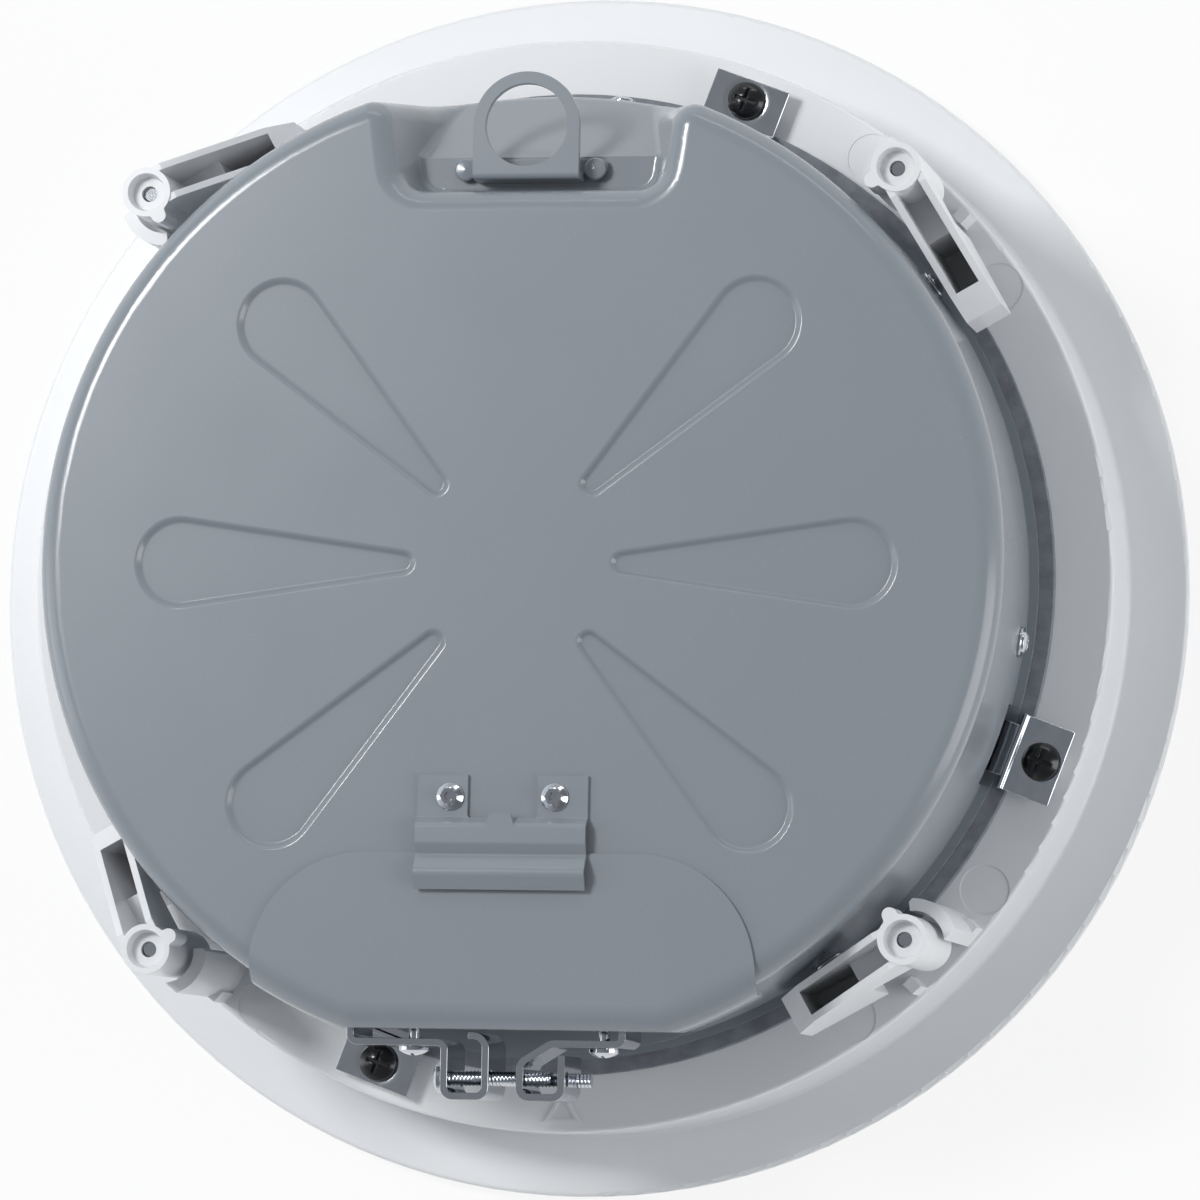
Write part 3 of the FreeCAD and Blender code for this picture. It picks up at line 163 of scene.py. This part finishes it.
def make_camera():
    right = Vector(CAMERA_RIGHT).normalized()
    back = Vector(CAMERA_BACK).normalized()
    up = back.cross(right).normalized()
    right = up.cross(back)
    place = Matrix((right, up, back)).transposed().to_4x4()
    place.translation = Vector(CAMERA_PLACE)
    data = bpy.data.cameras.new("camera")
    data.sensor_fit = "HORIZONTAL"
    data.sensor_width = SENSOR_W
    data.lens = LENS
    data.clip_end = FAR_CLIP
    camera = bpy.data.objects.new("camera", data)
    camera.matrix_world = place
    scene.collection.objects.link(camera)
    scene.camera = camera


# Materials
class Nodes:
    """A small helper that builds one node material."""

    def __init__(self, name):
        self.material = bpy.data.materials.new(name)
        self.material.use_nodes = True
        self.tree = self.material.node_tree
        self.shader = self.tree.nodes["Principled BSDF"]
        self.coords = self.add("ShaderNodeTexCoord").outputs["Object"]

    def add(self, kind, **values):
        node = self.tree.nodes.new(kind)
        for key, value in values.items():
            setattr(node, key, value)
        return node

    def link(self, out, socket):
        self.tree.links.new(out, socket)

    def noise(self, scale, detail=3.0, stretch=None):
        node = self.add("ShaderNodeTexNoise")
        node.inputs["Scale"].default_value = scale
        node.inputs["Detail"].default_value = detail
        node.inputs["Roughness"].default_value = 0.55
        self.link(self.stretched(stretch), node.inputs["Vector"])
        return node.outputs["Fac"]

    def cells(self, scale):
        node = self.add("ShaderNodeTexVoronoi")
        node.inputs["Scale"].default_value = scale
        self.link(self.coords, node.inputs["Vector"])
        return node.outputs["Distance"]

    def bands(self, direction, scale, distortion=0.0):
        node = self.add("ShaderNodeTexWave", wave_type="BANDS", bands_direction=direction)
        node.inputs["Scale"].default_value = scale
        node.inputs["Distortion"].default_value = distortion
        self.link(self.coords, node.inputs["Vector"])
        return node.outputs["Fac"]

    def stretched(self, stretch):
        if stretch is None:
            return self.coords
        node = self.add("ShaderNodeMapping")
        node.inputs["Scale"].default_value = stretch
        self.link(self.coords, node.inputs["Vector"])
        return node.outputs["Vector"]

    def ramp(self, value, *stops):
        node = self.add("ShaderNodeValToRGB")
        for element, (at, color) in zip(node.color_ramp.elements, stops):
            element.position = at
            element.color = (*color, 1.0)
        self.link(value, node.inputs["Fac"])
        return node.outputs["Color"]

    def spread(self, value, low, high, out_low, out_high):
        node = self.add("ShaderNodeMapRange")
        node.inputs["From Min"].default_value = low
        node.inputs["From Max"].default_value = high
        node.inputs["To Min"].default_value = out_low
        node.inputs["To Max"].default_value = out_high
        self.link(value, node.inputs["Value"])
        return node.outputs["Result"]

    def mix(self, factor, under, color):
        node = self.add("ShaderNodeMix", data_type="RGBA")
        self.link(factor, node.inputs[0])
        self.link(under, node.inputs[6])
        node.inputs[7].default_value = (*color, 1.0)
        return node.outputs[2]

    def sum(self, first, second, share):
        node = self.add("ShaderNodeMath", operation="MULTIPLY_ADD")
        self.link(second, node.inputs[0])
        node.inputs[1].default_value = share
        self.link(first, node.inputs[2])
        return node.outputs[0]

    def bump(self, height, strength, distance):
        node = self.add("ShaderNodeBump")
        node.inputs["Strength"].default_value = strength
        node.inputs["Distance"].default_value = distance
        self.link(height, node.inputs["Height"])
        self.link(node.outputs["Normal"], self.shader.inputs["Normal"])

    def set(self, **values):
        for key, value in values.items():
            socket = self.shader.inputs[key.replace("_", " ")]
            if isinstance(value, (int, float)):
                socket.default_value = value
            else:
                self.link(value, socket)
        return self.material


def linear(red, green, blue):
    """A colour written as on screen, 0 to 255, as Blender's linear values."""
    out = []
    for value in (red, green, blue):
        value /= 255.0
        out.append(value / 12.92 if value <= 0.04045 else ((value + 0.055) / 1.055) ** 2.4)
    return tuple(out)


def shade(base, share):
    """A linear colour times a share, kept at or below white."""
    return tuple(min(1.0, value * share) for value in base)


def paint(name, color, rough, peel, fleck=0.0):
    """Powder coat: a slight orange peel, faint cloudiness and fine pale flecks."""
    n = Nodes(name)
    base = linear(*color)
    cloud = n.ramp(n.noise(16.0, 2.0), (0.1, shade(base, 0.97)), (0.9, shade(base, 1.03)))
    specks = n.spread(n.cells(420.0), 0.05, 0.16, fleck, 0.0)
    tone = n.mix(specks, cloud, shade(base, 2.2))
    n.bump(n.sum(n.noise(900.0, 2.0), n.noise(260.0, 1.0), 0.5), peel, GRAIN_HEIGHT)
    roughness = n.spread(n.noise(40.0, 1.0), 0.0, 1.0, rough - 0.02, rough + 0.02)
    return n.set(Base_Color=tone, Roughness=roughness, IOR=1.5, Coat_Weight=0.25, Coat_Roughness=0.12)


def plastic(name, color, rough, shift=0.03, cloud=0.05):
    """Moulded plastic: a fine spark-eroded grain and faint flow shading."""
    n = Nodes(name)
    base = linear(*color)
    tone = n.ramp(n.noise(14.0), (0.3, shade(base, 1 - shift)), (0.7, shade(base, 1 + shift)))
    n.bump(n.noise(1500.0, 2.0), 0.12, GRAIN_HEIGHT)
    roughness = n.spread(n.noise(90.0, 2.0), 0.0, 1.0, rough - cloud, rough + cloud)
    return n.set(Base_Color=tone, Roughness=roughness, IOR=1.49)


def metal(name, color, rough, shift=0.12, ripple=0.0, brush=None):
    """Bare or plated metal with rolling or polishing marks, and a pressed sheet's slow ripple."""
    n = Nodes(name)
    base = linear(*color)
    marks = n.noise(260.0, 4.0, brush)
    tone = n.ramp(marks, (0.3, shade(base, 1 - shift)), (0.7, shade(base, 1 + shift)))
    n.bump(n.sum(marks, n.noise(70.0, 1.0), ripple), 0.1, MARK_HEIGHT)
    roughness = n.spread(n.noise(45.0), 0.3, 0.7, rough * 0.8, rough * 1.35)
    return n.set(Base_Color=tone, Roughness=roughness, Metallic=1.0)


def cloth(name, color, scale=1400.0, rough=0.9):
    n = Nodes(name)
    base = linear(*color)
    weave = n.cells(scale)
    tone = n.ramp(n.sum(weave, n.noise(300.0), 0.4), (0.2, shade(base, 0.7)), (0.9, shade(base, 1.2)))
    n.bump(weave, 0.5, WEAVE_HEIGHT)
    return n.set(Base_Color=tone, Roughness=rough)


def rubber(name, color, rough=0.6):
    n = Nodes(name)
    base = linear(*color)
    pores = n.cells(1100.0)
    tone = n.ramp(n.noise(180.0), (0.3, shade(base, 0.8)), (0.75, shade(base, 1.3)))
    n.bump(pores, 0.35, PORE_HEIGHT)
    return n.set(Base_Color=tone, Roughness=rough)


def laminations(name):
    n = Nodes(name)
    sheets = n.bands("X", 320.0, 0.4)
    tone = n.ramp(sheets, (0.3, linear(60, 60, 62)), (0.8, linear(150, 150, 152)))
    n.bump(sheets, 0.4, SHEET_HEIGHT)
    return n.set(Base_Color=tone, Roughness=0.45, Metallic=1.0)


def windings(name):
    n = Nodes(name)
    turns = n.bands("Z", 420.0)
    tone = n.ramp(turns, (0.2, linear(110, 52, 24)), (0.8, linear(205, 120, 70)))
    n.bump(turns, 0.5, WIRE_HEIGHT)
    return n.set(Base_Color=tone, Roughness=0.3, Metallic=0.8)


def make_materials():
    return {
        "white_plastic": plastic("moulded_white", (232, 233, 235), rough=0.3, shift=0.004, cloud=0.03),
        "can_paint": paint("can_paint", (136, 143, 150), rough=0.24, peel=0.17, fleck=0.05),
        "grille_paint": paint("grille_white", (226, 226, 224), rough=0.55, peel=0.2),
        "foam": rubber("gasket_foam", (124, 128, 135)),
        "zinc": metal("bright_zinc", (198, 201, 207), rough=0.1, shift=0.04, ripple=12.0),
        "steel": metal("plain_steel", (150, 151, 154), rough=0.32, brush=(1, 1, 12)),
        "black_steel": paint("black_oxide", (22, 22, 25), rough=0.24, peel=0.15),
        "ferrite": paint("ferrite", (52, 52, 56), rough=0.62, peel=0.4, fleck=0.03),
        "cone_paper": cloth("cone_paper", (38, 38, 41), scale=900.0, rough=0.65),
        "copper": windings("copper_winding"),
        "black_plastic": plastic("moulded_black", (28, 28, 31), rough=0.42),
        "surround_rubber": rubber("surround_rubber", (26, 26, 28), rough=0.5),
        "spider_cloth": cloth("spider_cloth", (178, 132, 70)),
        "dome_cloth": cloth("dome_cloth", (40, 40, 44), scale=2200.0, rough=0.55),
        "board": plastic("board_green", (38, 96, 58), rough=0.3),
        "green_plastic": plastic("block_green", (34, 120, 62), rough=0.4),
        "pad": cloth("damping_felt", (196, 190, 172), scale=500.0, rough=0.95),
        "laminate": laminations("laminations"),
    }


# Dressing of the solids
def welded(mesh):
    form = bmesh.new()
    form.from_mesh(mesh)
    bmesh.ops.remove_doubles(form, verts=form.verts, dist=WELD)
    return form


def cleaned(mesh):
    """A welded bmesh of a mesh, its flat areas joined."""
    form = welded(mesh)
    bmesh.ops.dissolve_degenerate(form, dist=1e-7, edges=form.edges)
    bmesh.ops.dissolve_limit(
        form,
        angle_limit=math.radians(FLAT_ANGLE),
        use_dissolve_boundaries=False,
        verts=form.verts,
        edges=form.edges,
    )
    return form


def unbound_piece(form, name, material, sharp=SHARP_ANGLE):
    mesh = bpy.data.meshes.new(name)
    form.to_mesh(mesh)
    form.free()
    mesh.shade_smooth()
    mesh.set_sharp_from_angle(angle=math.radians(sharp))
    mesh.materials.append(material)
    piece = bpy.data.objects.new(name, mesh)
    scene.collection.objects.link(piece)
    return piece


def to_piece(form, name, material, body, sharp=SHARP_ANGLE):
    piece = unbound_piece(form, name, material, sharp)
    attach(piece, body)
    return piece


def stand_in(form, node, material, sharp=SHARP_ANGLE):
    """A piece on the node's own body that is shown in its place."""
    piece = to_piece(form, node + "_skin", material, nodes[node]["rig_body"], sharp)
    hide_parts(node)
    return piece


def rounded(piece, width):
    """Small radii on the sharp edges, as a real pressing or moulding has."""
    bevel = piece.modifiers.new("edges", "BEVEL")
    bevel.limit_method = "ANGLE"
    bevel.angle_limit = math.radians(SHARP_ANGLE)
    bevel.width = width * MM
    bevel.segments = 2
    bevel.use_clamp_overlap = True
    bevel.miter_outer = "MITER_ARC"
    bevel.loop_slide = False


def evened(piece):
    """Flat faces shade flat, and the roundings beside them carry the change."""
    weights = piece.modifiers.new("evened", "WEIGHTED_NORMAL")
    weights.mode = "FACE_AREA"
    weights.weight = 80
    weights.keep_sharp = True


def dress(node, material):
    """A refined copy of a solid stands for it, with smooth faces and rounded edges."""
    piece = stand_in(cleaned(nodes[node].data), node, material)
    rounded(piece, EDGES.get(node, PLAIN_EDGE))
    evened(piece)


# The soft rings that carry the cone
def soft_ring(node, material):
    """A ring cut into wedges, which are shown in the ring's place."""
    half = math.pi / WEDGES
    for number in range(WEDGES):
        middle = 2 * half * (number + 0.5)
        form = welded(nodes[node].data)
        for side in (-1, 1):
            edge = middle + side * half
            across = Vector((-math.sin(edge), math.cos(edge), 0.0)) * side
            whole = form.verts[:] + form.edges[:] + form.faces[:]
            bmesh.ops.bisect_plane(form, geom=whole, dist=1e-7, plane_co=(0, 0, 0), plane_no=across, clear_outer=True)
        piece = unbound_piece(form, f"{node}_skin_{number + 1}", material, RING_SHARP_ANGLE)
        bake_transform(piece)
        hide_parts(node)


def make_soft_rings(materials):
    soft_ring("woofer_surround", materials["surround_rubber"])
    soft_ring("woofer_spider", materials["spider_cloth"])


# Threads on the screws
def separate_bodies(form):
    """The corners of each separate body in a bmesh, in the mesh's own order."""
    seen = set()
    found = []
    for first in form.verts:
        if first in seen:
            continue
        seen.add(first)
        group = [first]
        for vertex in group:
            for edge in vertex.link_edges:
                other = edge.other_vert(vertex)
                if other not in seen:
                    seen.add(other)
                    group.append(other)
        found.append(group)
    return found


def thread_into(form, middle, start, stop, along, pitch):
    """Adds a helical thread from start to stop round an axis to a bmesh."""
    across = [i for i in range(3) if i != along]
    steps = max(2, round((stop - start) / pitch * PER_TURN))
    rings = []
    for step in range(steps + 1):
        height = start + (stop - start) * step / steps
        ring = []
        for k in range(AROUND):
            turn = k / AROUND
            phase = ((height / pitch - turn) % 1.0) * 2.0
            crest = abs(1.0 - phase)
            r = (SCREW_R - THREAD_DEPTH * (1.0 - crest)) * MM
            spot = list(middle)
            spot[along] = height
            spot[across[0]] += r * math.cos(2 * math.pi * turn)
            spot[across[1]] += r * math.sin(2 * math.pi * turn)
            ring.append(form.verts.new(spot))
        rings.append(ring)
    for lower, upper in zip(rings, rings[1:]):
        for k in range(AROUND):
            k2 = (k + 1) % AROUND
            form.faces.new((lower[k], lower[k2], upper[k2], upper[k]))
    form.faces.new(rings[0])
    form.faces.new(rings[-1])


def threaded_screws(node, material, along, pitch, head):
    """The node's screws with a cut thread in place of each plain shank, above the head's height."""
    form = cleaned(nodes[node].data)
    across = [i for i in range(3) if i != along]
    limit = (SCREW_R + SHANK_MARGIN) * MM
    plain = []
    shanks = []
    for group in separate_bodies(form):
        low = [min(v.co[i] for v in group) for i in range(3)]
        high = [max(v.co[i] for v in group) for i in range(3)]
        middle = [(a + b) / 2 for a, b in zip(low, high)]
        seat = low[along] + head * MM
        shanks.append((middle, seat, high[along]))
        inside = set(group)
        for face in form.faces:
            if face.verts[0] not in inside:
                continue
            reach = max(math.hypot(*(v.co[i] - middle[i] for i in across)) for v in face.verts)
            if reach < limit and face.calc_center_median()[along] > seat:
                plain.append(face)
    bmesh.ops.delete(form, geom=plain, context="FACES")
    for middle, seat, end in shanks:
        thread_into(form, middle, seat - THREAD_LEAD * MM, end, along, pitch * MM)
    bmesh.ops.recalc_face_normals(form, faces=form.faces)
    stand_in(form, node, material, THREAD_SHARP_ANGLE)


# The perforated grille
def perforated_field(form, front, back, reach):
    """Square cells, each with a round hole through the sheet, as far out as reach."""
    pitch = HOLE_PITCH * MM
    row = pitch * math.sqrt(3) / 2
    rows = int(reach / row) + 1
    around = ((1, 0), (1, 1), (0, 1), (-1, 1), (-1, 0), (-1, -1), (0, -1), (1, -1))
    shared = {}

    def corner(x, y):
        key = (round(x * 1e6), round(y * 1e6))
        if key not in shared:
            shared[key] = form.verts.new((x, y, front))
        return shared[key]

    for j in range(-rows, rows + 1):
        y = j * row
        shift = pitch / 2 if j % 2 else 0.0
        for i in range(-rows, rows + 1):
            x = i * pitch + shift
            if math.hypot(x, y) + pitch * HOLE_MARGIN > reach:
                continue
            outer = [corner(x + u * pitch / 2, y + v * row / 2) for u, v in around]
            hole = []
            deep = []
            for k in range(HOLE_SIDES):
                angle = 2 * math.pi * k / HOLE_SIDES
                hx = x + HOLE_R * MM * math.cos(angle)
                hy = y + HOLE_R * MM * math.sin(angle)
                hole.append(form.verts.new((hx, hy, front)))
                deep.append(form.verts.new((hx, hy, back)))
            for k in range(HOLE_SIDES):
                m = (k + 1) % HOLE_SIDES
                form.faces.new((outer[m], outer[k], hole[k], hole[m]))
                form.faces.new((hole[m], hole[k], deep[k], deep[m]))


def open_front_edges(form, front):
    """The edges with one face that lie in the front plane."""
    level = front + 1e-6
    return [edge for edge in form.edges if len(edge.link_faces) == 1 and all(v.co.z < level for v in edge.verts)]


def pressed_rim(form, radius, front, back, top):
    """The pan's rounded edge and its wall, from the front plane up; returns the first ring's edges."""
    rim_r = radius - GRILLE_EDGE_R * MM
    profile = [(rim_r, front)]
    for k in range(1, EDGE_STEPS + 1):
        angle = math.pi / 2 * k / EDGE_STEPS
        out = GRILLE_EDGE_R * MM * math.sin(angle)
        up = GRILLE_EDGE_R * MM * (1 - math.cos(angle))
        profile.append((rim_r + out, front + up))
    inside = radius - GRILLE_T * MM
    profile += [(radius, top), (inside, top), (inside, back)]
    turns = [2 * math.pi * k / RIM_STEPS for k in range(RIM_STEPS)]
    rings = [[form.verts.new((r * math.cos(a), r * math.sin(a), z)) for a in turns] for r, z in profile]
    for inner, outer in zip(rings, rings[1:]):
        for k in range(RIM_STEPS):
            m = (k + 1) % RIM_STEPS
            form.faces.new((inner[m], inner[k], outer[k], outer[m]))
    first = rings[0]
    return [form.edges.get((first[k], first[(k + 1) % RIM_STEPS])) for k in range(RIM_STEPS)]


def grille_mesh():
    """A pressed pan with rows of small round holes, open to the cloth behind them."""
    low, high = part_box("front_grille")
    radius = high.x
    front = low.z
    back = front + GRILLE_T * MM
    form = bmesh.new()
    perforated_field(form, front, back, radius - SOLID_RIM * MM)
    jagged = open_front_edges(form, front)
    edge = pressed_rim(form, radius, front, back, high.z)
    bmesh.ops.triangle_fill(form, edges=jagged + edge, use_beauty=True, use_dissolve=False, normal=(0, 0, -1))
    return form


def make_grille(materials):
    stand_in(grille_mesh(), "front_grille", materials["grille_paint"], RING_SHARP_ANGLE)
    low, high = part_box("front_grille")
    form = bmesh.new()
    bmesh.ops.create_circle(form, cap_ends=True, segments=CLOTH_SIDES, radius=high.x - GRILLE_T * MM)
    for vertex in form.verts:
        vertex.co.z = low.z + GRILLE_T * MM
    backing = to_piece(form, "grille_cloth", materials["dome_cloth"], "housing")


def dress_all(materials):
    slots = {row["node"]: row["material_slot"] for row in frame["record"]["subparts"]}
    own_forms = {"front_grille", "woofer_surround", "woofer_spider", *THREADED}
    make_grille(materials)
    make_soft_rings(materials)
    for node, (along, pitch, head) in THREADED.items():
        threaded_screws(node, materials["zinc"], along, pitch, head)
    for node in nodes:
        if node not in own_forms:
            dress(node, materials[slots[node]])


# Floor and light
def make_floor():
    """A pale floor that takes the object's shadow and is seen, also in reflections, as nearly white."""
    form = bmesh.new()
    bmesh.ops.create_circle(form, cap_ends=True, segments=FLOOR_SIDES, radius=FLOOR_R)
    mesh = bpy.data.meshes.new("floor")
    form.to_mesh(mesh)
    form.free()
    n = Nodes("floor_paint")
    tone = n.ramp(n.noise(1.5), (0.3, linear(243, 243, 243)), (0.7, linear(247, 247, 247)))
    mesh.materials.append(n.set(Base_Color=tone, Roughness=0.9, IOR=1.3))
    seen = n.add("ShaderNodeLightPath").outputs
    some = n.sum(seen["Is Camera Ray"], seen["Is Glossy Ray"], 1.0)
    share = n.spread(n.sum(some, seen["Is Transmission Ray"], 1.0), 0.0, 1.0, 0.0, FLOOR_GLOW)
    mixed = n.add("ShaderNodeMixShader")
    glow = n.add("ShaderNodeEmission")
    n.link(share, mixed.inputs[0])
    n.link(n.shader.outputs[0], mixed.inputs[1])
    n.link(glow.outputs[0], mixed.inputs[2])
    n.link(mixed.outputs[0], n.tree.nodes["Material Output"].inputs["Surface"])
    floor = bpy.data.objects.new("floor", mesh)
    floor.location.z = -FLOOR_DROP
    scene.collection.objects.link(floor)


def make_world():
    """A studio tent: bright towards the horizon and on the upper left, dimmer overhead and opposite."""
    world = bpy.data.worlds.new("studio")
    world.use_nodes = True
    tree = world.node_tree
    back = tree.nodes["Background"]
    coords = tree.nodes.new("ShaderNodeTexCoord").outputs["Generated"]
    parts = tree.nodes.new("ShaderNodeSeparateXYZ")
    tree.links.new(coords, parts.inputs[0])
    strength = tree.nodes.new("ShaderNodeMapRange")
    strength.inputs["From Min"].default_value = HORIZON_Z
    strength.inputs["From Max"].default_value = ZENITH_Z
    strength.inputs["To Min"].default_value = HORIZON
    strength.inputs["To Max"].default_value = ZENITH
    tree.links.new(parts.outputs["Z"], strength.inputs["Value"])
    along = tree.nodes.new("ShaderNodeVectorMath")
    along.operation = "DOT_PRODUCT"
    along.inputs[1].default_value = LIT_SIDE
    tree.links.new(coords, along.inputs[0])
    side = tree.nodes.new("ShaderNodeMapRange")
    side.inputs["From Min"].default_value = -1.0
    side.inputs["To Min"].default_value = 2.0 - LIT_SHARE
    side.inputs["To Max"].default_value = LIT_SHARE
    tree.links.new(along.outputs["Value"], side.inputs["Value"])
    product = tree.nodes.new("ShaderNodeMath")
    product.operation = "MULTIPLY"
    tree.links.new(strength.outputs["Result"], product.inputs[0])
    tree.links.new(side.outputs["Result"], product.inputs[1])
    tree.links.new(product.outputs[0], back.inputs["Strength"])
    back.inputs["Color"].default_value = SKY_COLOR
    scene.world = world


def make_lights():
    for name, place, width, height, watts in LAMPS:
        data = bpy.data.lights.new(name, "AREA")
        data.shape = "RECTANGLE"
        data.size = width
        data.size_y = height
        data.energy = watts
        lamp = bpy.data.objects.new(name, data)
        lamp.location = place
        direction = Vector(LAMP_TARGET) - Vector(place)
        lamp.rotation_euler = direction.to_track_quat("-Z", "Y").to_euler()
        scene.collection.objects.link(lamp)


scene.view_settings.view_transform = "Standard"
make_camera()
make_world()
make_floor()
make_lights()
dress_all(make_materials())
